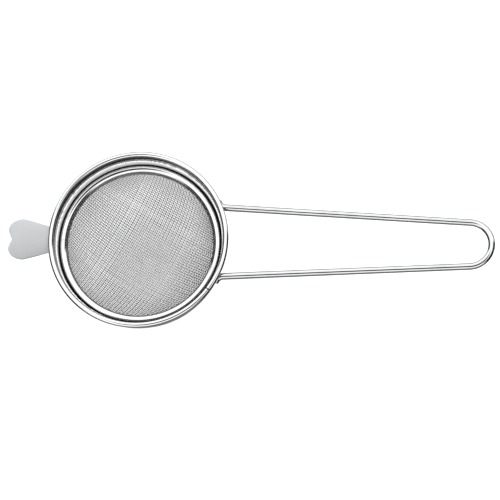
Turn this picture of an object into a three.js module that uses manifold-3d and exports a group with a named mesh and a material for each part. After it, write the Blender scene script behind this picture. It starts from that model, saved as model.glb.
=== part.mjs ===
// A tea strainer: a woven wire bowl clamped between a rolled-edge hoop and an inner ring,
// with a hairpin wire handle on one side and a heart-shaped rest tab on the other.
// Millimetres, +Z up out of the bowl's mouth, +X along the handle.
// The origin is the middle of the footprint, at the height of the bowl's lowest point.

import * as THREE from "three";
import { mergeVertices } from "three/addons/utils/BufferGeometryUtils.js";
import Module from "manifold-3d";

// Overall sizes
const rimDiameter = 70; // over the rolled edge of the hoop
const handleReach = 137.6; // hoop axis to the far end of the handle
const tabReach = 50.6; // hoop axis to the tips of the rest tab
const bowlDepth = 29; // clamped edge of the cloth to the bottom of the bowl

// Hoop, rolled outwards over its top edge
const hoopSheet = 0.3;
const rollDiameter = 2.1;
const rollTurn = THREE.MathUtils.degToRad(285);
const hoopHeight = 9.5; // middle of the roll down to the lower edge
const neckInset = 0.3; // how far the wall stands inside the roll
const neckDrop = 1.1; // middle of the roll down to where the wall is straight
const neckFlare = neckDrop / 3; // middle of the roll down to where the roll begins

// Inner clamp ring, an arch whose outer leg presses the cloth against the hoop
const clampSheet = 0.3;
const clampFootRise = 0.2; // foot of the outer leg above the hoop's lower edge
const crestHeight = 3.4; // crest of the arch above the foot
const crestInset = 1.6; // middle of the leg to the crest
const crestShoulder = 1.6; // the leg starts to bend this far below the crest
const lipFace = 1.85; // crest to the mouth
const lipDrop = 2.0; // how far the face falls on the way
const lipHem = 0.6; // short upright hem at the mouth

// Wire cloth
const clothThickness = 0.4;
const clothMargin = 2.5; // the cut edge of the cloth stands this far above the crest
const bottomFlatRadius = 6; // the drawn bowl is nearly flat here

// Handle wire
const wireDiameter = 2.6;
const legHalfGap = 13.7; // half the distance between the legs where they meet the hoop
const bendRadius = 8.7; // middle line of the far bend
const elbowRadius = 3; // middle line of the small bend at each welded end
const weldArc = THREE.MathUtils.degToRad(1.5); // how far each end follows the hoop

// Rest tab
const tabSheet = 0.8;
const tabNeckHalf = 5;
const tabHalfWidth = 8;
const lobeLength = 5.8; // widest place of the heart to its tips
const lobeTipHalf = 4; // half the distance between the two tips
const notchDepth = 1.4;
const lobeSwell = 0.2; // how far each lobe bulges past its widest straight side
const lobeShoulder = (tabHalfWidth - lobeTipHalf) / 2;
const flangeHeight = 5; // the part turned down and welded to the hoop

// Clearances and seams
const seatGap = 0.08; // between the rings and the cloth they clamp
const weldGap = 0.15; // between the hoop and what is welded to it
const seamWidth = 0.2; // butt joint of each ring
const hoopSeamAngle = THREE.MathUtils.degToRad(-35);
const clampSeamAngle = THREE.MathUtils.degToRad(178);

const ringSteps = 48;
const curlSteps = 7;
const lipSteps = 4;
const lobeSteps = 8;
const bowlSteps = 10;
const wireSides = 8;
const wireSteps = 120;

// Worked out from the sizes above. Heights are from the middle of the roll.
const rimRadius = rimDiameter / 2;
const rollRadius = rollDiameter / 2;
const rollCentre = rimRadius - rollRadius;
const wallInner = rollCentre - rollRadius - neckInset;
const wallOuter = wallInner + hoopSheet;
const clothOuter = wallInner - seatGap;
const clothInner = clothOuter - clothThickness;
const clampFoot = hoopHeight - clampFootRise;
const crest = clampFoot - crestHeight;
const clothEdge = crest - clothMargin;
const legOuter = clothInner - seatGap;
const legMiddle = legOuter - clampSheet / 2;
const crestRadius = legMiddle - crestInset;
const lowest = hoopHeight + bowlDepth + clothThickness / 2;
const ringX = (tabReach - handleReach) / 2;

const wasm = await Module();
wasm.setup();

const mergeDistance = 1e-4;

function toSolid(geometry) {
  const bare = geometry.clone();
  bare.deleteAttribute("normal");
  bare.deleteAttribute("uv");
  const merged = mergeVertices(bare, mergeDistance);
  return new wasm.Manifold(
    new wasm.Mesh({
      numProp: 3,
      vertProperties: new Float32Array(merged.attributes.position.array),
      triVerts: new Uint32Array(merged.index.array),
    }),
  );
}

function toGeometry(solid) {
  const { vertProperties, triVerts } = solid.getMesh();
  const geometry = new THREE.BufferGeometry();
  geometry.setAttribute("position", new THREE.BufferAttribute(vertProperties, 3));
  geometry.setIndex(new THREE.BufferAttribute(triVerts, 1));
  return geometry;
}

const sharpestBend = 0.5; // keeps the outline whole where the middle line turns sharply

// The closed outline of a sheet of the given thickness bent along a middle line.
function sheetOutline(middle, thickness) {
  const left = [];
  const right = [];
  middle.forEach((point, i) => {
    const before = middle[Math.max(i - 1, 0)];
    const after = middle[Math.min(i + 1, middle.length - 1)];
    const into = point.clone().sub(before).normalize();
    const out = after.clone().sub(point).normalize();
    const along = into.clone().add(out).normalize();
    const bend = Math.max(along.dot(i === 0 ? out : into), sharpestBend);
    const side = new THREE.Vector2(-along.y, along.x).multiplyScalar(thickness / 2 / bend);
    left.push(point.clone().add(side));
    right.push(point.clone().sub(side));
  });
  return [...left, ...right.reverse(), left[0].clone()];
}

// Turns a closed (radius, height) outline round the hoop's axis.
function turned(outline) {
  const area = THREE.ShapeUtils.area(outline);
  const ordered = area > 0 ? outline : outline.slice().reverse();
  return new THREE.LatheGeometry(ordered, ringSteps).rotateX(Math.PI / 2);
}

// Cuts the butt joint of a bent strip: a thin slot through the ring at one angle.
function withSeam(geometry, angle) {
  const knife = new THREE.BoxGeometry(rimDiameter, seamWidth, 2 * lowest)
    .translate(rimDiameter / 2, 0, 0)
    .rotateZ(angle);
  return toGeometry(toSolid(geometry).subtract(toSolid(knife)));
}

function hoopGeometry() {
  const wall = wallInner + hoopSheet / 2;
  const bend = rollRadius - hoopSheet / 2;
  const path = new THREE.Path()
    .moveTo(wall, -hoopHeight)
    .lineTo(wall, -neckDrop)
    .lineTo(rollCentre - bend, -neckFlare)
    .absarc(rollCentre, 0, bend, Math.PI, Math.PI - rollTurn, true);
  return withSeam(turned(sheetOutline(path.getPoints(curlSteps), hoopSheet)), hoopSeamAngle);
}

function clampGeometry() {
  const mouth = crestRadius - lipFace;
  const path = new THREE.Path()
    .moveTo(legMiddle, -clampFoot)
    .lineTo(legMiddle, -crest - crestShoulder)
    .absellipse(crestRadius, -crest - crestShoulder, crestInset, crestShoulder, 0, Math.PI / 2)
    .absellipse(crestRadius, -crest - lipDrop, lipFace, lipDrop, Math.PI / 2, Math.PI)
    .lineTo(mouth, -crest - lipDrop - lipHem);
  return withSeam(turned(sheetOutline(path.getPoints(lipSteps), clampSheet)), clampSeamAngle);
}

// The cloth stands up as a collar between the two rings and hangs below them as a bowl.
function clothGeometry() {
  const collar = clothOuter - clothThickness / 2;
  const sphere = (collar ** 2 + bowlDepth ** 2) / (2 * bowlDepth);
  const centre = -hoopHeight - bowlDepth + sphere;
  const rimAngle = Math.asin(collar / sphere);
  const flatAngle = Math.asin(bottomFlatRadius / sphere);
  const middle = [new THREE.Vector2(collar, -clothEdge)];
  for (let i = 0; i <= bowlSteps; i++) {
    const angle = THREE.MathUtils.lerp(rimAngle, flatAngle, i / bowlSteps);
    middle.push(new THREE.Vector2(sphere * Math.sin(angle), centre - sphere * Math.cos(angle)));
  }
  const outline = sheetOutline(middle, clothThickness).slice(0, -1);
  const outer = outline.slice(0, middle.length);
  const inner = outline.slice(middle.length);
  const floor = -hoopHeight - bowlDepth;
  const outside = new THREE.Vector2(0, floor - clothThickness / 2);
  const inside = new THREE.Vector2(0, floor + clothThickness / 2);
  return turned([outside, ...outer.reverse(), ...inner.reverse(), inside]);
}

// The middle line of the handle wire in its own plane, from one welded end to the other.
// It is drawn for the upper half and mirrored for the lower half.
function handleRoute() {
  const hug = wallOuter + weldGap + wireDiameter / 2;
  const bendCentre = handleReach - wireDiameter / 2 - bendRadius;
  const meet = Math.sqrt(rimRadius ** 2 - legHalfGap ** 2);
  const run = Math.hypot(bendCentre - meet, legHalfGap);
  const taper = Math.asin(legHalfGap / run) - Math.asin(bendRadius / run);
  const normal = new THREE.Vector2(Math.sin(taper), Math.cos(taper));
  const along = new THREE.Vector2(-Math.cos(taper), Math.sin(taper));
  const tangent = new THREE.Vector2(bendCentre, 0).addScaledVector(normal, bendRadius);

  // The elbow touches the leg from outside and the circle that the welded end follows.
  const start = tangent.clone().addScaledVector(normal, elbowRadius);
  const reach = hug + elbowRadius;
  const halfB = start.dot(along);
  const travel = -halfB - Math.sqrt(halfB ** 2 - start.lengthSq() + reach ** 2);
  const elbow = start.clone().addScaledVector(along, travel);
  const elbowAngle = Math.atan2(elbow.y, elbow.x);

  const half = new THREE.Path();
  const legStart = Math.atan2(-normal.y, -normal.x);
  half.absarc(0, 0, hug, elbowAngle + weldArc, elbowAngle, true);
  half.absarc(elbow.x, elbow.y, elbowRadius, elbowAngle - Math.PI, legStart, false);
  half.lineTo(tangent.x, tangent.y);
  half.absarc(bendCentre, 0, bendRadius, Math.PI / 2 - taper, 0, true);
  return half;
}

class Hairpin extends THREE.Curve {
  constructor(half) {
    super();
    this.half = half;
  }

  getPoint(t, target = new THREE.Vector3()) {
    const lower = t > 0.5;
    const point = this.half.getPointAt(lower ? 2 - 2 * t : 2 * t);
    return target.set(point.x, lower ? -point.y : point.y, 0);
  }
}

function handleGeometry() {
  const section = new THREE.Shape();
  for (let i = 0; i < wireSides; i++) {
    const angle = (i / wireSides) * 2 * Math.PI;
    const x = (wireDiameter / 2) * Math.cos(angle);
    const y = (wireDiameter / 2) * Math.sin(angle);
    if (i === 0) section.moveTo(x, y);
    else section.lineTo(x, y);
  }
  section.closePath();
  const wire = new THREE.ExtrudeGeometry(section, {
    steps: wireSteps,
    extrudePath: new Hairpin(handleRoute()),
  });
  return wire.translate(0, 0, -rollRadius - weldGap - wireDiameter / 2);
}

// A heart without its point, cut to the hoop's curve at the neck, with a flange turned down.
function tabGeometry() {
  const inner = wallOuter + weldGap;
  const neckAngle = Math.asin(tabNeckHalf / inner);
  const widest = tabReach - lobeLength;
  const heart = new THREE.Shape()
    .moveTo(-inner * Math.cos(neckAngle), tabNeckHalf)
    .lineTo(-widest, tabHalfWidth)
    .bezierCurveTo(-widest - lobeLength / 2, tabHalfWidth + lobeSwell,
      -tabReach, lobeTipHalf + lobeShoulder, -tabReach, lobeTipHalf)
    .lineTo(-tabReach + notchDepth, 0)
    .lineTo(-tabReach, -lobeTipHalf)
    .bezierCurveTo(-tabReach, -lobeTipHalf - lobeShoulder,
      -widest - lobeLength / 2, -tabHalfWidth - lobeSwell, -widest, -tabHalfWidth)
    .lineTo(-inner * Math.cos(neckAngle), -tabNeckHalf)
    .absarc(0, 0, inner, Math.PI + neckAngle, Math.PI - neckAngle, true);
  const plate = new THREE.ExtrudeGeometry(heart, {
    depth: tabSheet,
    bevelEnabled: false,
    curveSegments: lobeSteps,
  });
  const strip = new THREE.Shape()
    .absarc(0, 0, inner, Math.PI - neckAngle, Math.PI + neckAngle, false)
    .absarc(0, 0, inner + tabSheet, Math.PI + neckAngle, Math.PI - neckAngle, true);
  const flange = new THREE.ExtrudeGeometry(strip, {
    depth: flangeHeight,
    bevelEnabled: false,
    curveSegments: lobeSteps,
  }).translate(0, 0, tabSheet - flangeHeight);
  const joined = toGeometry(toSolid(plate).add(toSolid(flange)));
  return joined.translate(0, 0, -rollRadius - weldGap - tabSheet);
}

const steel = { color: 0xd9dbdd, metalness: 1 };
const polished = new THREE.MeshStandardMaterial({ ...steel, roughness: 0.08 });
const wireSteel = new THREE.MeshStandardMaterial({ ...steel, color: 0xb8babc, roughness: 0.3 });
const satin = new THREE.MeshStandardMaterial({ ...steel, color: 0xdcdee0, roughness: 0.5 });

function piece(name, geometry, material) {
  const mesh = new THREE.Mesh(geometry, material);
  mesh.name = name;
  return mesh;
}

const group = new THREE.Group();
const strainer = new THREE.Group();
strainer.position.set(ringX, 0, lowest);
strainer.add(piece("rim_hoop", hoopGeometry(), polished));
strainer.add(piece("clamp_ring", clampGeometry(), polished));
strainer.add(piece("mesh_bowl", clothGeometry(), wireSteel));
strainer.add(piece("handle_wire", handleGeometry(), polished));
strainer.add(piece("rest_tab", tabGeometry(), satin));
group.add(strainer);

export default group;
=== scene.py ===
# %% [markdown]
# # A tea strainer in polished steel
# The strainer has five parts: a hoop with a rolled edge, a clamp ring pressed into it,
# a bowl of woven wire held between the two, a handle bent from one length of wire,
# and a heart-shaped tab that rests on the cup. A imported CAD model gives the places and
# the overall sizes. It is loaded first and never changed. Each part is then built again
# at full detail, in metres, in the same frame.

# %% Load the fixed frame
import math

import bmesh
import bpy
from mathutils import Matrix, Vector


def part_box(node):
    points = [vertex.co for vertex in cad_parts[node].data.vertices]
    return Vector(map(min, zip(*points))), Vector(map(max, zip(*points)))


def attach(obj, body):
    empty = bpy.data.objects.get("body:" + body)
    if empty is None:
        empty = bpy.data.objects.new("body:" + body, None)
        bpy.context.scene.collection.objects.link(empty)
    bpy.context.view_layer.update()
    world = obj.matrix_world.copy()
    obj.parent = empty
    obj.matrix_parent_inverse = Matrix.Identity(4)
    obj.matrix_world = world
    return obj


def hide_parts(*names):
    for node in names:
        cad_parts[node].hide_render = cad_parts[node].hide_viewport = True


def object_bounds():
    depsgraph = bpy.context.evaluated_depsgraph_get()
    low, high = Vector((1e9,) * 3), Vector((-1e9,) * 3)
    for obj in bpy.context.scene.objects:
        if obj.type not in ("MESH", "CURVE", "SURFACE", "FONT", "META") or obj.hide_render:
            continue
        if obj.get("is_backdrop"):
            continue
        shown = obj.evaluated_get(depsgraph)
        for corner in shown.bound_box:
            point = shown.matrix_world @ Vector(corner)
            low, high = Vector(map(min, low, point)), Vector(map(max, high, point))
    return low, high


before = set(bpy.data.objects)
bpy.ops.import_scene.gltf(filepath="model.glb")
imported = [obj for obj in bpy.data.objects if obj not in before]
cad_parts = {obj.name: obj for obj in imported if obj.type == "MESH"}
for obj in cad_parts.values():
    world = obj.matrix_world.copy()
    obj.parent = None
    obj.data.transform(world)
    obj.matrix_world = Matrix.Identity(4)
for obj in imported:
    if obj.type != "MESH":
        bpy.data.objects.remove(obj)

cad_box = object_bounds()
print("CAD nodes:", sorted(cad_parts))

# %% [markdown]
# Sheet metal and wire are sold by the millimetre, so the sizes below are in millimetres
# and are turned to metres once. Only gauges and small radii are listed. The places come
# from the boxes of the CAD nodes: the hoop's box gives the ring's axis and its top.

# %% Sizes and places
MM = 0.001
DEGREE = math.pi / 180

sheet = 0.30 * MM  # thickness of both rings
roll_radius = 1.05 * MM  # outside of the rolled edge
roll_turn = 285 * DEGREE
neck_inset = 0.30 * MM  # the wall stands this far inside the roll
neck_drop = 1.10 * MM  # the wall is straight below this
seat_gap = 0.08 * MM
weld_gap = 0.15 * MM

hoop_low, hoop_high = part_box("rim_hoop")
rim_radius = (hoop_high.y - hoop_low.y) / 2
ring_x = hoop_high.x - rim_radius
roll_height = hoop_high.z - roll_radius
roll_centre = rim_radius - roll_radius
wall_inner = roll_centre - roll_radius - neck_inset
wall_outer = wall_inner + sheet
print(f"ring axis at x = {ring_x / MM:.2f} mm, roll at z = {roll_height / MM:.2f} mm")

# %% [markdown]
# Both rings are strips of sheet, bent across and then round. So each is drawn as a line
# in the plane of radius and height, thickened to a section, and turned round the axis.
# The section has rounded ends, because a sheared edge is tumbled before it is sold.
# A lathe modifier would close the ring, but the real strip has two ends that meet in a
# butt joint, so the turning is written out and stops just short of a full turn.

# %% Lines, sections and turned strips
def arc(centre, radius, start, end, step=7.5 * DEGREE):
    """Points along an arc in the plane of radius and height."""
    count = max(2, round(abs(end - start) / step))
    angles = [start + (end - start) * i / count for i in range(count + 1)]
    return [(centre[0] + radius * math.cos(a), centre[1] + radius * math.sin(a)) for a in angles]


def section_of(line, thickness, end_steps=4):
    """The closed outline of a sheet that follows the line, with round ends."""
    points = [Vector(p) for p in line]
    left, right = [], []
    for i, point in enumerate(points):
        before = points[max(i - 1, 0)]
        after = points[min(i + 1, len(points) - 1)]
        along = (after - before).normalized()
        side = Vector((-along.y, along.x)) * thickness / 2
        left.append(point + side)
        right.append(point - side)
    far = round_end(points[-1], left[-1], end_steps)
    near = round_end(points[0], right[0], end_steps)
    return left + far + right[::-1] + near


def round_end(centre, first, steps):
    """Points of a half circle from the first point to the opposite one, turning right."""
    arm = first - centre
    turns = [-math.pi * i / steps for i in range(1, steps)]
    return [centre + Matrix.Rotation(turn, 2) @ arm for turn in turns]


def turned_strip(name, line, thickness, seam, gap, steps):
    """A strip with the given section, bent round the hoop's axis to a butt joint."""
    full = section_of(line, thickness)
    thin = section_of(line, thickness * 0.6)
    radius = max(p[0] for p in line)
    half_gap = gap / 2 / radius
    rounding = thickness * 0.2 / radius
    first, last = seam + half_gap, seam + 2 * math.pi - half_gap
    stations = [(first, thin)]
    for i in range(steps + 1):
        share = i / steps
        stations.append((first + rounding + (last - first - 2 * rounding) * share, full))
    stations.append((last, thin))
    vertices = []
    for angle, outline in stations:
        east, north = math.cos(angle), math.sin(angle)
        vertices += [(ring_x + r * east, r * north, roll_height + z) for r, z in outline]
    count = len(full)
    faces = []
    for base in range(0, (len(stations) - 1) * count, count):
        for i in range(count):
            j = (i + 1) % count
            faces.append((base + i, base + j, base + count + j, base + count + i))
    base = (len(stations) - 1) * count
    faces.append(tuple(range(count))[::-1])
    faces.append(tuple(range(base, base + count)))
    return mesh_object(name, vertices, faces)


def mesh_object(name, vertices, faces=(), edges=()):
    """A mesh object at the origin. Its faces are turned to point outwards."""
    mesh = bpy.data.meshes.new(name)
    mesh.from_pydata([tuple(v) for v in vertices], list(edges), list(faces))
    mesh.validate()
    obj = bpy.data.objects.new(name, mesh)
    bpy.context.scene.collection.objects.link(obj)
    if faces:
        face_outwards(mesh)
    return obj


def face_outwards(mesh, sharp=40 * DEGREE):
    """Recalculates the normals of a closed mesh and shades it smooth but for its edges."""
    work = bmesh.new()
    work.from_mesh(mesh)
    bmesh.ops.recalc_face_normals(work, faces=work.faces)
    work.to_mesh(mesh)
    work.free()
    mesh.shade_smooth()
    mesh.set_sharp_from_angle(angle=sharp)


# %% [markdown]
# The hoop is the outer ring. Its upper edge is rolled outwards, like the rim of a tin,
# so that no sharp edge is left to touch. The roll stops at three quarters of a turn,
# where the sheared edge comes back to the wall and is hidden from above.

# %% Hoop with its rolled edge
hoop_seam = -35 * DEGREE
hoop_joint = 0.30 * MM
neck_blend = 0.30 * MM  # height over which the wall runs into the neck
neck_waist = 0.02 * MM
neck_hollow = 0.12 * MM
hoop_depth = roll_height - hoop_low.z
wall_middle = wall_inner + sheet / 2
roll_bend = roll_radius - sheet / 2

hoop_line = [(wall_middle, -hoop_depth + hoop_depth * i / 8) for i in range(7)]
hoop_line += [(wall_middle, -neck_drop - neck_blend), (wall_middle - neck_waist, -neck_drop)]
hoop_line += [(roll_centre - roll_bend - neck_hollow, -neck_drop / 2)]
hoop_line += arc((roll_centre, 0), roll_bend, math.pi, math.pi - roll_turn)
hoop = turned_strip("rim_hoop_sheet", hoop_line, sheet, hoop_seam, hoop_joint, 180)
print("hoop faces:", len(hoop.data.polygons))

# %% [markdown]
# The clamp ring is a strip bent over to an arch. Its outer leg presses the cloth against
# the hoop's wall, and the rest is a round lip that hides the cloth's bend and gives the
# bowl a smooth mouth. It is the same kind of strip with another line, so the same
# functions make it.

# %% Clamp ring
clamp_seam = 178 * DEGREE
clamp_joint = 0.12 * MM
cloth_thickness = 0.40 * MM
crest_inset = 1.60 * MM  # middle of the leg to the crest
crest_shoulder = 1.60 * MM
lip_face = 1.85 * MM  # crest to the mouth
lip_drop = 2.00 * MM
lip_hem = 0.60 * MM
clamp_low, clamp_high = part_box("clamp_ring")
cloth_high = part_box("mesh_bowl")[1].z - roll_height
clamp_foot = clamp_low.z - roll_height
crest_height = clamp_high.z - roll_height - sheet / 2
leg_middle = wall_inner - cloth_thickness - 2 * seat_gap - sheet / 2
crest_radius = leg_middle - crest_inset
mouth_radius = crest_radius - lip_face


def quarter_round(centre, across, up, start, steps=12):
    """A quarter of an ellipse, from the start angle on."""
    turns = [start + math.pi / 2 * i / steps for i in range(steps + 1)]
    return [(centre[0] + across * math.cos(t), centre[1] + up * math.sin(t)) for t in turns]


leg_top = crest_height - crest_shoulder
lip_line = [(leg_middle, clamp_foot + (leg_top - clamp_foot) * i / 4) for i in range(4)]
lip_line += quarter_round((crest_radius, leg_top), crest_inset, crest_shoulder, 0)
lip_foot = crest_height - lip_drop
lip_line += quarter_round((crest_radius, lip_foot), lip_face, lip_drop, math.pi / 2)[1:]
lip_line += [(mouth_radius, lip_foot - lip_hem * i / 3) for i in (1, 2, 3)]
clamp = turned_strip("clamp_ring_sheet", lip_line, sheet, clamp_seam, clamp_joint, 160)
print("clamp ring faces:", len(clamp.data.polygons))

# %% [markdown]
# Sums on node sockets are hard to read as a chain of node calls. This small class wraps
# an output socket, so that a sum on it adds the Math nodes. Every other node, for shapes
# and for materials alike, comes from the one method `add`: settings first, then sockets.

# %% A shorter way to write nodes
class Value:
    """An output socket of a node tree. Arithmetic on it adds Math nodes."""

    def __init__(self, socket):
        self.socket = socket

    def math(self, operation, *others):
        return Nodes(self.socket.id_data).math(operation, self, *others)

    def __add__(self, other):
        return self.math("ADD", other)

    def __sub__(self, other):
        return self.math("SUBTRACT", other)

    def __rsub__(self, other):
        return Nodes(self.socket.id_data).math("SUBTRACT", other, self)

    def __mul__(self, other):
        return self.math("MULTIPLY", other)

    def __truediv__(self, other):
        return self.math("DIVIDE", other)

    __radd__ = __add__
    __rmul__ = __mul__


class Nodes:
    """Adds nodes to one tree."""

    def __init__(self, tree):
        self.tree = tree

    def add(self, kind, settings=None, sockets=None, out=0):
        """Adds a node, first its settings and then its sockets, and gives one output."""
        node = self.tree.nodes.new(kind)
        for name, value in (settings or {}).items():
            setattr(node, name, value)
        for name, value in (sockets or {}).items():
            if isinstance(value, Value):
                self.tree.links.new(value.socket, node.inputs[name])
            else:
                node.inputs[name].default_value = value
        return Value(node.outputs[out]) if len(node.outputs) else None

    def math(self, operation, *values):
        return self.add("ShaderNodeMath", {"operation": operation}, dict(enumerate(values)))

    def step(self, value, low, high):
        """0 below low, 1 above high, and smooth between."""
        sockets = {"Value": value, "From Min": low, "From Max": high}
        return self.add("ShaderNodeMapRange", {"interpolation_type": "SMOOTHSTEP"}, sockets)

    def mix(self, share, first, second):
        """Mixes two colours, each given as (red, green, blue, 1) or as a socket."""
        sockets = {0: share, 6: first, 7: second}
        return self.add("ShaderNodeMix", {"data_type": "RGBA"}, sockets, out=2)


# %% [markdown]
# Drawn wire is the same thing in the cloth and in the handle: a round section that
# follows a path. So one Geometry Nodes tree makes both. It turns a chain of edges into a
# curve, lifts each point along a stored direction by a stored share of the crimp, and
# sweeps a circle along it. On the handle nothing is stored, so nothing is lifted.

# %% The tree that draws wire
WIRE_INPUTS = {"Path": "Geometry", "Diameter": "Float", "Crimp": "Float",
               "Sides": "Int", "Cuts": "Int", "Finish": "Material"}


def wire_tree():
    """The tree with its named inputs: path, diameter, crimp, sides, cuts and finish."""
    tree = bpy.data.node_groups.new("drawn_wire", "GeometryNodeTree")
    face = tree.interface
    for name, kind in WIRE_INPUTS.items():
        face.new_socket(name, in_out="INPUT", socket_type="NodeSocket" + kind)
    face.new_socket("Wire", in_out="OUTPUT", socket_type="NodeSocketGeometry")
    nodes = Nodes(tree)
    inlet = tree.nodes.new("NodeGroupInput")
    given = {socket.name: Value(socket) for socket in inlet.outputs if socket.name}
    stored = "GeometryNodeInputNamedAttribute"
    curve = nodes.add("GeometryNodeMeshToCurve", None, {"Mesh": given["Path"]})
    fine = nodes.add("GeometryNodeSubdivideCurve", None, {"Curve": curve, "Cuts": given["Cuts"]})
    lift = nodes.add(stored, {"data_type": "FLOAT"}, {"Name": "lift"})
    outward = nodes.add(stored, {"data_type": "FLOAT_VECTOR"}, {"Name": "outward"})
    offset = nodes.add("ShaderNodeVectorMath", {"operation": "SCALE"},
                       {0: outward, "Scale": lift * given["Crimp"]})
    crimped = nodes.add("GeometryNodeSetPosition", None, {"Geometry": fine, "Offset": offset})
    circle = nodes.add("GeometryNodeCurvePrimitiveCircle", None,
                       {"Resolution": given["Sides"], "Radius": given["Diameter"] / 2})
    swept = nodes.add("GeometryNodeCurveToMesh", None,
                      {"Curve": crimped, "Profile Curve": circle, "Fill Caps": True})
    smooth = nodes.add("GeometryNodeSetShadeSmooth", None,
                       {"Geometry": swept, "Shade Smooth": True})
    real = nodes.add("GeometryNodeRealizeInstances", None, {"Geometry": smooth})
    painted = nodes.add("GeometryNodeSetMaterial", None,
                        {"Geometry": real, "Material": given["Finish"]})
    nodes.add("NodeGroupOutput", None, {"Wire": painted})
    return tree


def draw_wire(obj, tree, **inputs):
    """Runs the tree on a path and keeps its result as a plain mesh."""
    modifier = obj.modifiers.new("drawn_wire", "NODES")
    modifier.node_group = tree
    for item in tree.interface.items_tree:
        if item.name in inputs:
            modifier[item.identifier] = inputs[item.name]
    evaluated = obj.evaluated_get(bpy.context.evaluated_depsgraph_get())
    mesh = bpy.data.meshes.new_from_object(evaluated)
    obj.modifiers.remove(modifier)
    obj.data = mesh
    print(obj.name, "has", sum(len(p.vertices) - 2 for p in mesh.polygons), "triangles")
    return obj


wire_drawing = wire_tree()

# %% [markdown]
# ## Finishes
# Polished stainless steel has almost no colour of its own. What shows is what it
# reflects, broken up by the last polishing lines, which run along the wheel's path: round
# the rings and along the wire. They are a noise that is stretched along that path. It
# moves the roughness and a very small bump.
#
# Three places on the rings are nearly black: the groove between the two rings, the corner
# where the roll leaves the wall, and the joint of the hoop. A clean mirror still picks up
# light in the groove and the corner, so painted shade darkens them by their place on the
# part, and the open joint is painted dark. The radius, the height and the distance from
# the joint are enough to find them.

# %% Polished sheet and wire
def new_finish(name):
    """A material with an empty tree, and the helper that fills it."""
    material = bpy.data.materials.new(name)
    material.use_nodes = True
    material.node_tree.nodes.clear()
    return material, Nodes(material.node_tree)


def finish_surface(nodes, **sockets):
    """The Principled shader and the output, with the sockets by name."""
    named = {name.replace("_", " "): value for name, value in sockets.items()}
    shader = nodes.add("ShaderNodeBsdfPrincipled", None, named)
    nodes.add("ShaderNodeOutputMaterial", None, {"Surface": shader})


def noise(nodes, vector, scale, detail=3.0, roughness=0.55):
    sockets = {"Vector": vector, "Scale": scale, "Detail": detail, "Roughness": roughness}
    return nodes.add("ShaderNodeTexNoise", None, sockets)


def polishing_lines(nodes, lines_at):
    """A noise along the stretched coordinates, and the very small bump it gives."""
    lines = noise(nodes, lines_at, 1.0, 4.0)
    relief = {"Strength": 0.05, "Distance": 0.03 * MM, "Height": lines}
    return lines, nodes.add("ShaderNodeBump", None, relief)


def round_and_along(nodes):
    """Object coordinates centred on the hoop: radius, distance round, and height."""
    place = nodes.add("ShaderNodeTexCoord", out=3)
    centred = nodes.add("ShaderNodeMapping", None, {"Vector": place, "Location": (-ring_x, 0, 0)})
    node = nodes.tree.nodes.new("ShaderNodeSeparateXYZ")
    nodes.tree.links.new(centred.socket, node.inputs[0])
    x, y, z = (Value(socket) for socket in node.outputs)
    radius = (x * x + y * y).math("SQRT")
    angle = nodes.math("ARCTAN2", y, x)
    return radius, angle, z, centred


# where the painted shade of the groove and of the corner under the roll starts and ends
groove_inner = 30.7 * MM  # on the clamp ring, just outside its crest
groove_outer = 32.7 * MM  # on the hoop, inside its wall
bead_inner = 32.6 * MM  # where the roll leaves the wall
bead_foot = roll_height - 1.2 * MM
collar_inner = 32.0 * MM  # nothing of the clamp ring lies outside this


def polished_sheet():
    """The finish of both rings, with painted shade in the groove and the corner, and the dark joint.
    """
    material, nodes = new_finish("polished_steel_sheet")
    radius, angle, z, centred = round_and_along(nodes)
    lines_at = nodes.add("ShaderNodeCombineXYZ", None, {0: radius * 9000, 1: angle * 6, 2: z * 9000})
    lines, bump = polishing_lines(nodes, lines_at)
    smudge = nodes.step(noise(nodes, centred, 160.0), 0.45, 0.7)
    rough = 0.035 + lines * 0.05 + smudge * 0.05
    colour = nodes.mix(smudge, (0.66, 0.665, 0.67, 1), (0.60, 0.605, 0.61, 1))
    # painted shade: the groove between the clamp ring and the hoop is painted nearly black
    painted_shade_between_rings = (nodes.step(radius, groove_inner, groove_inner + 0.4 * MM)
                     * (1 - nodes.step(radius, groove_outer, groove_outer + 0.06 * MM)))
    # painted shade: the corner under the rolled edge is painted nearly black
    painted_shade_under_bead = ((1 - nodes.step(radius, bead_inner, bead_inner + 0.6 * MM))
                  * nodes.step(z, bead_foot, bead_foot + 0.2 * MM))
    off_seam = ((angle - hoop_seam) * radius).math("ABSOLUTE")
    seam = ((1 - nodes.step(off_seam, hoop_joint / 2, hoop_joint / 2 + 0.2 * MM))
            * nodes.step(radius, collar_inner, collar_inner + 0.5 * MM))
    # dark gathers the painted shade of the groove and the corner and the dark joint of the hoop
    dark = nodes.math("MAXIMUM", nodes.math("MAXIMUM", painted_shade_between_rings, painted_shade_under_bead), seam)
    colour = nodes.mix(dark, colour, (0.01, 0.008, 0.006, 1))
    finish_surface(nodes, Base_Color=colour, Metallic=1.0, Roughness=rough, Normal=bump)
    return material


def polished_wire():
    """The handle's finish, with its lines along the legs."""
    material, nodes = new_finish("polished_steel_wire")
    place = nodes.add("ShaderNodeTexCoord", out=3)
    stretched = {"Vector": place, "Scale": (60, 4000, 4000)}
    lines, bump = polishing_lines(nodes, nodes.add("ShaderNodeMapping", None, stretched))
    smudge = nodes.step(noise(nodes, place, 120.0), 0.45, 0.7)
    rough = 0.04 + lines * 0.05 + smudge * 0.04
    colour = nodes.mix(smudge, (0.56, 0.565, 0.57, 1), (0.50, 0.505, 0.51, 1))
    finish_surface(nodes, Base_Color=colour, Metallic=1.0, Roughness=rough, Normal=bump)
    return material


sheet_finish = polished_sheet()
wire_finish = polished_wire()
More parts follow.
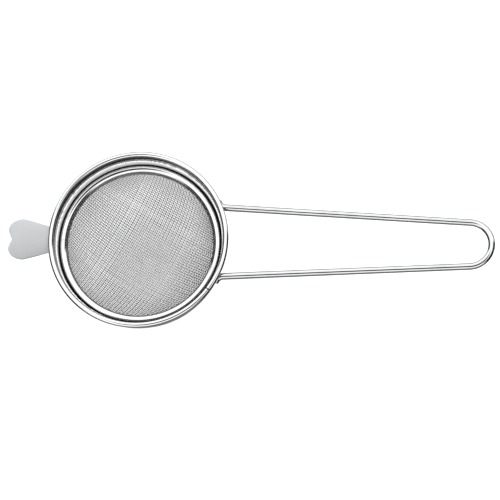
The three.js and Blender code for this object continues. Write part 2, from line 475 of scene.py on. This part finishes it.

# %% [markdown]
# The tab is not polished like the rest. It is blasted with fine beads, which leaves an
# even satin grey. A fine noise gives the grain and a slow one the unevenness of the
# blasting.
#
# The wires of the cloth are drawn but not polished. On top of each crossing, which the
# attribute `lift` finds, they get a painted highlight: a light colour and less roughness.
# The warp is duller than the weft. On the slope of the bowl every second warp wire, and the
# weft where it crosses those, gets painted shade, nearly black: the attribute `second` is 1
# on those. The edge of the cloth stands up between the rings. Little light gets into that
# gap, so its wires get painted light: a pale, non-metallic colour and a glow of their own,
# brightest at the cut edge.

# %% Satin tab and drawn cloth wire
def satin_sheet():
    """The tab's even satin grey."""
    material, nodes = new_finish("satin_steel_sheet")
    place = nodes.add("ShaderNodeTexCoord", out=3)
    grain = noise(nodes, place, 9000.0, 2.0)
    cloud = noise(nodes, place, 90.0)
    rough = 0.40 + cloud * 0.10 + grain * 0.06
    relief = {"Strength": 0.25, "Distance": 0.02 * MM, "Height": grain}
    bump = nodes.add("ShaderNodeBump", None, relief)
    colour = nodes.mix(cloud, (0.47, 0.48, 0.49, 1), (0.43, 0.44, 0.45, 1))
    finish_surface(nodes, Base_Color=colour, Metallic=1.0, Roughness=rough, Normal=bump)
    return material


def cloth_wire(name, low, high):
    """Fine drawn wire: a painted highlight on top of each crossing, duller where it dips."""
    material, nodes = new_finish(name)
    radius, angle, z, place = round_and_along(nodes)
    lift = nodes.add("ShaderNodeAttribute", {"attribute_name": "lift"}, out=2)
    second = nodes.add("ShaderNodeAttribute", {"attribute_name": "second"}, out=2)
    slope = nodes.step(radius, 5 * MM, 18 * MM)
    # painted shade: on the slope of the bowl every second wire is painted nearly black
    shaded = nodes.step(second, 0.25, 0.65) * slope
    # painted highlight: the top of each crossing is painted light and made less rough
    painted_highlight_on_tops = nodes.step(lift * -1, -0.4, 1.0) * (1 - shaded)
    cloud = noise(nodes, place, 70.0)
    grain = noise(nodes, place, 6000.0)
    dull = nodes.mix(cloud, (low, low, low, 1), (high, high, high, 1))
    # the painted shade turns the dull colour nearly black
    dull = nodes.mix(shaded, dull, (0.01, 0.01, 0.01, 1))
    colour = nodes.mix(painted_highlight_on_tops, dull, (0.92, 0.92, 0.92, 1))
    # painted light: where the cloth stands up between the rings its wires are painted pale and
    # non-metallic
    above_foot = nodes.step(z, hoop_low.z + 0.5 * MM, hoop_low.z + MM)
    upright = nodes.step(radius, collar_inner, collar_inner + 0.05 * MM) * above_foot
    colour = nodes.mix(upright, colour, (0.95, 0.95, 0.95, 1))
    rough = 0.28 - painted_highlight_on_tops * 0.10 + grain * 0.06
    cloth_top = roll_height + cloth_high
    # painted glow: the collar's wires give light of their own, most at the cut edge
    cut = nodes.step(z, cloth_top - 0.5 * MM, cloth_top - 0.3 * MM)
    lit = nodes.mix(upright * (0.25 + cut * 0.75), (0, 0, 0, 1), (0.8, 0.8, 0.8, 1))
    finish_surface(nodes, Base_Color=colour, Metallic=1 - upright, Roughness=rough,
                   Emission_Color=lit, Emission_Strength=1.0)
    return material


satin_finish = satin_sheet()
warp_finish = cloth_wire("drawn_warp_wire", 0.26, 0.34)
weft_finish = cloth_wire("drawn_weft_wire", 0.50, 0.60)

# %% [markdown]
# ## The woven bowl
# Wire cloth hardly stretches. When a flat disc of it is pressed into a bowl, the square
# openings shear into diamonds between the two thread directions and stay square along
# them. A net that keeps every side at its length is called a Chebyshev net, and it can be
# built by hand: each crossing is where two circles on the sphere meet, drawn round the
# crossings before it. Real cloth gives a little, so the net is mixed with a plain
# wrapping of the disc. Only a quarter is worked out, and the rest is its mirror image.

# %% The net on the bowl
wire_gauge = 0.255 * MM
warp_pitch = 0.99 * MM  # step along a warp wire, from weft to weft
weft_pitch = 0.74 * MM  # step along a weft wire, from warp to warp
weave_angle = 61.5 * DEGREE
give = 0.65  # 0 is a perfect net, 1 the plain wrapping
net_margin = 0.2  # the net is worked out this far past the cut edge, in radians
net_reach = 1.4  # longest arc to a corner of the net, in lengths to the cut edge

collar_radius = wall_inner - seat_gap - cloth_thickness / 2
bowl_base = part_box("mesh_bowl")[0].z + cloth_thickness / 2
collar_foot = hoop_low.z
bowl_depth = collar_foot - bowl_base
sphere = (collar_radius ** 2 + bowl_depth ** 2) / (2 * bowl_depth)
sphere_centre = Vector((ring_x, 0, bowl_base + sphere))
rim_turn = math.asin(collar_radius / sphere)
edge_turn = rim_turn + (roll_height + cloth_high - collar_foot) / sphere
print(f"bowl {bowl_depth / MM:.1f} mm deep on a sphere of radius {sphere / MM:.1f} mm")


def wrapped(u, v):
    """The direction from the sphere's centre to a point of the plainly wrapped disc."""
    run = math.hypot(u, v)
    if run == 0:
        return Vector((0, 0, -1))
    turn = run / sphere
    flat = math.sin(turn) / run
    return Vector((u * flat, v * flat, -math.cos(turn)))


def meeting(a, b, reach_a, reach_b, behind):
    """Where two circles on the unit sphere meet, on the side away from a point."""
    near_a, near_b, between = 1 - reach_a ** 2 / 2, 1 - reach_b ** 2 / 2, a.dot(b)
    spread = 1 - between ** 2
    share_a = (near_a - near_b * between) / spread
    share_b = (near_b - near_a * between) / spread
    base = a * share_a + b * share_b
    across = a.cross(b)
    rest = (1 - base.length_squared) / across.length_squared
    if rest < 0:
        return None
    arm = across * math.sqrt(rest)
    return max((base + arm, base - arm), key=lambda p: (p - behind).length)


def quarter_net(count_u, count_v):
    """Directions of the crossings with both indices at or above zero."""
    step_u, step_v = warp_pitch / sphere, weft_pitch / sphere
    net = {(i, 0): wrapped(i * warp_pitch, 0) for i in range(count_u + 1)}
    net.update({(0, j): wrapped(0, j * weft_pitch) for j in range(count_v + 1)})
    lowest = math.cos(edge_turn + net_margin)
    for j in range(1, count_v + 1):
        for i in range(1, count_u + 1):
            a, b, behind = net.get((i - 1, j)), net.get((i, j - 1)), net.get((i - 1, j - 1))
            if a and b and min(-a.z, -b.z) > lowest:
                net[i, j] = meeting(a, b, step_u, step_v, behind)
    return net


def softened(net):
    """Mixes the net with the plain wrapping."""
    plain = {key: wrapped(key[0] * warp_pitch, key[1] * weft_pitch) for key in net}
    return {key: p.lerp(plain[key], give).normalized() for key, p in net.items() if p}


arc_reach = net_reach * edge_turn * sphere
quarter = softened(quarter_net(int(arc_reach / warp_pitch), int(arc_reach / weft_pitch)))
print("crossings in a quarter of the cloth:", len(quarter))

# %% [markdown]
# A wire of the cloth is a row of crossings. It ends where the disc was cut, on its way up
# between the two rings, so the last step is shortened to end on the cut. At each crossing
# the wire passes over or under, and the sign of that is stored as `lift` for the tree.
# Every second warp wire is stored as `second` for its finish. There are a few hundred
# wires, so each gets only four sides and one cut between two crossings.

# %% Warp and weft wires
turn_of_weave = Matrix.Rotation(weave_angle, 3, "Z")


def crossing(i, j):
    """The direction of a crossing, taken from the quarter that is worked out."""
    point = quarter.get((abs(i), abs(j)))
    if point is None:
        return None
    return Vector((math.copysign(point.x, i), math.copysign(point.y, j), point.z))


def place_on_bowl(direction):
    """The place and the outward direction, on the bowl or on the upright collar above."""
    turn = math.acos(max(-1, min(1, -direction.z)))
    if turn <= rim_turn:
        return sphere_centre + direction * sphere, direction
    flat = Vector((direction.x, direction.y, 0)).normalized()
    rise = (turn - rim_turn) * sphere
    return Vector((ring_x, 0, collar_foot + rise)) + flat * collar_radius, flat


def wire_run(keys, over):
    """Points of one wire up to the cut edge: direction, lift, and 1 on every second warp."""
    limit = -math.cos(edge_turn)
    run, before = [], None
    for i, j in keys:
        direction = crossing(i, j)
        lift = over if (i + j) % 2 else -over
        if direction is None:
            before = None
            continue
        inside = direction.z <= limit
        if before and inside != before[2]:
            share = (limit - before[0].z) / (direction.z - before[0].z)
            cut = before[0].lerp(direction, share).normalized()
            run.append((cut, before[1] + (lift - before[1]) * share, float(j % 2)))
        if inside:
            run.append((direction, lift, float(j % 2)))
        before = (direction, lift, inside)
    return run


def cloth_wires(name, runs, finish):
    """One object with a chain of edges for each wire, and the tree's two attributes."""
    points, edges, lifts, outwards, seconds = [], [], [], [], []
    for run in runs:
        for k, (direction, lift, second) in enumerate(run):
            place, outward = place_on_bowl(turn_of_weave @ direction)
            if k:
                edges.append((len(points) - 1, len(points)))
            points.append(place)
            lifts.append(lift)
            outwards.extend(outward)
            seconds.append(second)
    obj = mesh_object(name, points, edges=edges)
    stored = obj.data.attributes
    stored.new("lift", "FLOAT", "POINT").data.foreach_set("value", lifts)
    stored.new("outward", "FLOAT_VECTOR", "POINT").data.foreach_set("vector", outwards)
    stored.new("second", "FLOAT", "POINT").data.foreach_set("value", seconds)
    return draw_wire(obj, wire_drawing, Diameter=wire_gauge, Crimp=wire_gauge / 2,
                     Sides=4, Cuts=1, Finish=finish)


most_i = max(key[0] for key in quarter)
most_j = max(key[1] for key in quarter)
across_i, across_j = range(-most_i, most_i + 1), range(-most_j, most_j + 1)
warp_runs = [wire_run([(i, j) for i in across_i], 1) for j in across_j]
weft_runs = [wire_run([(i, j) for j in across_j], -1) for i in across_i]
warp_runs, weft_runs = ([run for run in runs if len(run) > 1] for runs in (warp_runs, weft_runs))
warp = cloth_wires("warp_wires", warp_runs, warp_finish)
weft = cloth_wires("weft_wires", weft_runs, weft_finish)
print(len(warp_runs), "warp wires and", len(weft_runs), "weft wires")

# %% [markdown]
# ## Handle
# The handle is one length of wire. It is bent in the middle, and its two legs spread a
# little towards the hoop. At the hoop each end turns outwards through a small elbow,
# follows the wall under the rolled edge and is spot welded there. The path is drawn for
# one half from arcs and a straight leg that touch each other, and then mirrored.

# %% Handle wire
wire_diameter = 2.6 * MM
leg_half_gap = 13.7 * MM
bend_radius = 8.7 * MM
elbow_radius = 3.0 * MM
weld_arc = 1.5 * DEGREE


def handle_half():
    """Half of the handle's middle line, from its welded end to the far end."""
    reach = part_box("handle_wire")[1].x - ring_x
    hug = wall_outer + wire_diameter / 2
    bend_centre = reach - wire_diameter / 2 - bend_radius
    meet = math.sqrt(rim_radius ** 2 - leg_half_gap ** 2)
    run = math.hypot(bend_centre - meet, leg_half_gap)
    taper = math.asin(leg_half_gap / run) - math.asin(bend_radius / run)
    normal = Vector((math.sin(taper), math.cos(taper)))
    along = Vector((-math.cos(taper), math.sin(taper)))
    tangent = Vector((bend_centre, 0)) + normal * bend_radius
    start = tangent + normal * elbow_radius
    half_b = start.dot(along)
    travel = -half_b - math.sqrt(half_b ** 2 - start.length_squared + (hug + elbow_radius) ** 2)
    elbow = start + along * travel
    elbow_angle = math.atan2(elbow.y, elbow.x)
    leg_start = math.atan2(-normal.y, -normal.x)
    line = arc((0, 0), hug, elbow_angle + weld_arc, elbow_angle, 1.5 * DEGREE)
    line += arc(elbow, elbow_radius, elbow_angle - math.pi, leg_start, 6 * DEGREE)[1:]
    first = Vector(line[-1])
    line += [first.lerp(tangent, i / 12) for i in range(1, 12)]
    line += arc((bend_centre, 0), bend_radius, math.pi / 2 - taper, 0, 4 * DEGREE)
    return line


half = [Vector(p) for p in handle_half()]
route = half + [Vector((p.x, -p.y)) for p in half[-2::-1]]
wire_height = roll_height - roll_radius - weld_gap - wire_diameter / 2
route = [(ring_x + p.x, p.y, wire_height) for p in route]
links = [(i, i + 1) for i in range(len(route) - 1)]
handle = mesh_object("handle_wire_round", route, edges=links)
draw_wire(handle, wire_drawing, Diameter=wire_diameter, Crimp=0.0, Sides=40, Cuts=0,
          Finish=wire_finish)
handle.data.set_sharp_from_angle(angle=50 * DEGREE)
print(f"handle from x = {min(p[0] for p in route) / MM:.1f} to {max(p[0] for p in route) / MM:.1f} mm")
end_rounding = handle.modifiers.new("rounded_ends", "BEVEL")
end_rounding.width = 0.25 * MM
end_rounding.segments = 3
end_rounding.limit_method = "ANGLE"
end_rounding.angle_limit = 60 * DEGREE

# %% [markdown]
# ## Rest tab
# The tab is cut from thicker sheet in the shape of a heart without its point. At the
# hoop it is bent down, and the part that is bent down follows the hoop's curve and is
# welded to it. The plate is one flat face, and the bend is a strip of faces that starts
# from the plate's edge at the neck. Two modifiers give it thickness and soft edges.

# %% Heart-shaped tab
tab_sheet = 0.80 * MM
neck_half = 5.0 * MM
tab_half = 8.0 * MM
lobe_length = 5.8 * MM
lobe_tip_half = 4.0 * MM
notch_depth = 1.4 * MM
tab_bend = 0.8 * MM
flange_height = 5.0 * MM


def bezier(a, b, c, d, count):
    """Points along a cubic curve, without its first point."""
    points = []
    for i in range(1, count + 1):
        t = i / count
        s = 1 - t
        points.append(a * s ** 3 + b * (3 * s * s * t) + c * (3 * s * t * t) + d * t ** 3)
    return points


def heart_edge(tip):
    """The tab's edge on the +Y side, from the neck to the notch."""
    widest = tip - lobe_length
    shoulder = (tab_half - lobe_tip_half) / 2
    bend_line = wall_outer + weld_gap + tab_sheet / 2 + tab_bend
    neck = Vector((math.sqrt(bend_line ** 2 - neck_half ** 2), neck_half))
    side = Vector((widest, tab_half))
    lobe = Vector((tip, lobe_tip_half))
    notch = Vector((tip - notch_depth, 0))
    flank = (neck.lerp(side, 0.35), side - Vector((lobe_length * 0.35, 0.3 * MM)))
    outside = (side + Vector((lobe_length / 2, 0.15 * MM)), lobe + Vector((0, shoulder)))
    inside = (lobe - Vector((0, 1.6 * MM)), notch + Vector((0.5 * MM, 0.9 * MM)))
    edge = [neck]
    edge += bezier(neck, *flank, side, 8)
    edge += bezier(side, *outside, lobe, 10)
    edge += bezier(lobe, *inside, notch, 8)
    return edge


def tab_surface():
    """The tab's middle surface: the plate, the bend and the flange."""
    tip = ring_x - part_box("rest_tab")[0].x
    height = roll_height - roll_radius - weld_gap - tab_sheet / 2
    edge = heart_edge(tip)
    outline = edge + [Vector((p.x, -p.y)) for p in edge[-2::-1]]
    vertices = [(ring_x - p.x, p.y, height) for p in outline]
    neck_turn = math.asin(edge[0].y / edge[0].length)
    columns = 12
    turns = [-neck_turn + 2 * neck_turn * i / columns for i in range(columns + 1)]
    flange = wall_outer + weld_gap + tab_sheet / 2
    profile = [(edge[0].length, 0)]
    for turn in (15 * DEGREE, 30 * DEGREE, 45 * DEGREE, 60 * DEGREE, 75 * DEGREE):
        inset, sink = tab_bend * (1 - math.sin(turn)), tab_bend * (1 - math.cos(turn))
        profile.append((flange + inset, -sink))
    drop = flange_height - tab_sheet / 2 - tab_bend
    profile += [(flange, -tab_bend - drop * i / 4) for i in range(5)]
    rows = []
    for row, (r, z) in enumerate(profile):
        keys = []
        for column, turn in enumerate(turns):
            if row == 0 and column == 0:
                keys.append(len(outline) - 1)
            elif row == 0 and column == columns:
                keys.append(0)
            else:
                keys.append(len(vertices))
                vertices.append((ring_x - r * math.cos(turn), r * math.sin(turn), height + z))
        rows.append(keys)
    faces = [tuple(range(len(outline))) + tuple(rows[0][1:-1])]
    for upper, lower in zip(rows, rows[1:]):
        faces += [(upper[k + 1], upper[k], lower[k], lower[k + 1]) for k in range(columns)]
    return vertices, faces


tab = mesh_object("rest_tab_sheet", *tab_surface())
print("tab faces before its thickness:", len(tab.data.polygons))
thick = tab.modifiers.new("sheet", "SOLIDIFY")
thick.thickness = tab_sheet
thick.offset = 0
thick.use_even_offset = True
soft = tab.modifiers.new("tumbled_edges", "BEVEL")
soft.width = 0.14 * MM
soft.segments = 3
soft.limit_method = "ANGLE"
soft.angle_limit = 50 * DEGREE

# %% [markdown]
# ## Putting the pieces in the frame
# Each piece gets its finish, the CAD node it stands for is hidden, and it is hung on the
# body it moves with. There are no joints, so all of them ride on the root.

# %% Finishes and bodies
def in_frame(piece, node, finish):
    """Gives a piece its finish, hides the CAD node it stands for and hangs it on the root."""
    piece.data.materials.clear()
    piece.data.materials.append(finish)
    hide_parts(node)
    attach(piece, "root")


in_frame(hoop, "rim_hoop", sheet_finish)
in_frame(clamp, "clamp_ring", sheet_finish)
in_frame(warp, "mesh_bowl", warp_finish)
in_frame(weft, "mesh_bowl", weft_finish)
in_frame(handle, "handle_wire", wire_finish)
in_frame(tab, "rest_tab", satin_finish)

# %% [markdown]
# ## Floor and light
# Polished steel is shown off in a white tent, because it mirrors whatever stands round
# it. The light is a white surround with a few soft dark openings: one to the left, a low
# one to the right, and a small one where the camera looks in. They draw the thin dark
# lines along the wires and rims without which the steel would vanish on a white floor.
# The floor gives some light of its own and stays out of the reflections, as a lit sheet
# of glass would. The whites are meant to reach white, so the view is left untoned.

# %% Pale floor
floor_half = 3.0
corners = [(-1, -1), (1, -1), (1, 1), (-1, 1)]
floor = mesh_object("floor", [(x * floor_half, y * floor_half, 0) for x, y in corners],
                    [(0, 1, 2, 3)])


def floor_finish():
    """A white sheet that is lit from below as well."""
    material, nodes = new_finish("pale_floor")
    place = nodes.add("ShaderNodeTexCoord", out=3)
    cloud = noise(nodes, place, 2.0)
    colour = nodes.mix(cloud, (0.66, 0.66, 0.66, 1), (0.68, 0.68, 0.68, 1))
    finish_surface(nodes, Base_Color=colour, Roughness=0.9,
                   Emission_Color=colour, Emission_Strength=0.85)
    return material


floor.data.materials.append(floor_finish())
floor.visible_glossy = False
floor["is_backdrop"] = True

# %% [markdown]
# The camera stands far off with a long lens, so the ring stays a true ellipse. Its place
# is given by two angles round the part and by how far it is tilted about its own axis.

# %% Camera
view_azimuth = 23.8 * DEGREE
view_elevation = 74.2 * DEGREE
view_roll = 22.4 * DEGREE
view_distance = 2.5
view_width = 192.1 * MM
aim = Vector((0, -3.7 * MM, roll_height))

level = Vector((math.cos(view_azimuth), math.sin(view_azimuth), 0))
back = Vector((math.sin(view_azimuth) * math.cos(view_elevation),
               -math.cos(view_azimuth) * math.cos(view_elevation),
               math.sin(view_elevation)))
up = back.cross(level)
right = level * math.cos(view_roll) - up * math.sin(view_roll)
up = back.cross(right)
camera = bpy.data.objects.new("camera", bpy.data.cameras.new("camera"))
bpy.context.scene.collection.objects.link(camera)
camera.data.lens = camera.data.sensor_width * view_distance / view_width
camera.data.clip_end = 20
print(f"lens {camera.data.lens:.0f} mm")
turned = Matrix((right, up, back)).transposed()
camera.matrix_world = Matrix.Translation(aim + back * view_distance) @ turned.to_4x4()
bpy.context.scene.camera = camera

# %% [markdown]
# The world's colour is worked out from the direction that a reflection looks in. Each
# opening is a product of soft steps on the direction's x, y and z, and the darkest wins.
# Below the horizon the tent is nearly dark, as the table is.

# %% Tent of light
def light_tent(strength):
    """A white world with soft dark openings, given by the direction."""
    world = bpy.data.worlds.new("light_tent")
    world.use_nodes = True
    world.node_tree.nodes.clear()
    nodes = Nodes(world.node_tree)
    direction = nodes.add("ShaderNodeTexCoord", out=0)
    node = world.node_tree.nodes.new("ShaderNodeSeparateXYZ")
    world.node_tree.links.new(direction.socket, node.inputs[0])
    x, y, z = (Value(socket) for socket in node.outputs)
    left = (nodes.step(x * -1, 0.22, 0.30) * (1 - nodes.step(z, 0.52, 0.62))
            * (1 - nodes.step(y, 0.42, 0.55)) * (1 - nodes.step(y * -1, 0.55, 0.75)))
    right_low = (nodes.step(x, 0.30, 0.45) * (1 - nodes.step(z, 0.55, 0.68))
                 * (1 - nodes.step(y, 0.30, 0.42)) * (1 - nodes.step(y * -1, 0.55, 0.70)))
    facing = nodes.add("ShaderNodeVectorMath", {"operation": "DOT_PRODUCT"},
                       {0: direction, 1: tuple(back)}, out=1)
    opening = nodes.step(facing, math.cos(27 * DEGREE), math.cos(19 * DEGREE)) * 0.97
    below = (1 - nodes.step(z + y * 0.15, 0.0, 0.2)) * 0.88
    dark = left
    for other in (right_low, opening, below):
        dark = nodes.math("MAXIMUM", dark, other)
    colour = nodes.mix(dark, (1, 1, 1, 1), (0.02, 0.02, 0.022, 1))
    light = nodes.add("ShaderNodeBackground", None, {"Color": colour, "Strength": strength})
    nodes.add("ShaderNodeOutputWorld", None, {"Surface": light})
    return world


tent_strength = 1.75
bpy.context.scene.world = light_tent(tent_strength)
bpy.context.scene.view_settings.view_transform = "Standard"
print("tent strength:", tent_strength)

# %% [markdown]
# At the end the whole model is measured again and the sizes of both boxes are printed, so
# that the finished pieces can be compared with the CAD model they stand for.

# %% Measure and finish
visual_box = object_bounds()
boxes = {"cad": [list(corner) for corner in cad_box],
         "visual": [list(corner) for corner in visual_box]}
for name, box in boxes.items():
    print(name, "size in mm:", [round((high - low) / MM, 2) for low, high in zip(*box)])
